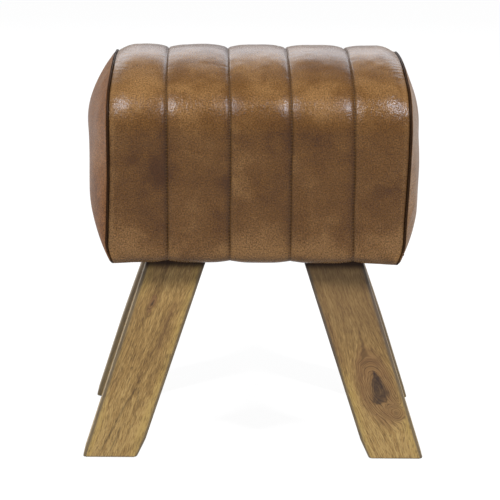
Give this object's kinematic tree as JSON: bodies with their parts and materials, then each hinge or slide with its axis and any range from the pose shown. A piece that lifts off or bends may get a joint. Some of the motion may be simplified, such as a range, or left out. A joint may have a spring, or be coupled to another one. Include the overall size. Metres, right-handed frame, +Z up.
{
  "type": "leather stool",
  "caption": "Small padded stool: a channel-quilted brown leather seat block with swelling ends on splayed plank legs.",
  "frame": {"origin": "on the floor, in the middle of the footprint", "axes": "+X towards the right-hand end of the seat, -Y towards the front (the viewer), +Z up"},
  "size_m": [0.4444, 0.3002, 0.5201],
  "materials": {
    "leather": "satin",
    "thread": "matte",
    "wadding": "matte",
    "foam": "matte",
    "leg_wood": "satin",
    "box_wood": "matte",
    "zinc_steel": "satin",
    "felt": "matte",
    "dust_cloth": "matte"
  },
  "bodies": {
    "root": {"corner_blocks": "box_wood", "dust_cover": "dust_cloth", "end_pad_left": "foam", "end_pad_right": "foam", "foam_top": "foam", "foot_pad_front_left": "felt", "foot_pad_front_right": "felt", "foot_pad_rear_left": "felt", "foot_pad_rear_right": "felt", "front_board": "box_wood", "leather_channel_1": "leather", "leather_channel_2": "leather", "leather_channel_3": "leather", "leather_channel_4": "leather", "leather_channel_5": "leather", "leather_end_left": "leather", "leather_end_right": "leather", "left_end_board": "box_wood", "leg_bolts": "zinc_steel", "leg_front_left": "leg_wood", "leg_front_right": "leg_wood", "leg_nuts": "zinc_steel", "leg_rear_left": "leg_wood", "leg_rear_right": "leg_wood", "leg_washers": "zinc_steel", "rear_board": "box_wood", "right_end_board": "box_wood", "seam_threads": "thread", "side_screws": "zinc_steel", "staples": "zinc_steel", "top_batten": "box_wood", "top_board": "box_wood", "top_screws": "zinc_steel", "wadding_1": "wadding", "wadding_2": "wadding", "wadding_3": "wadding", "wadding_4": "wadding", "wadding_5": "wadding"}
  },
  "joints": []
}
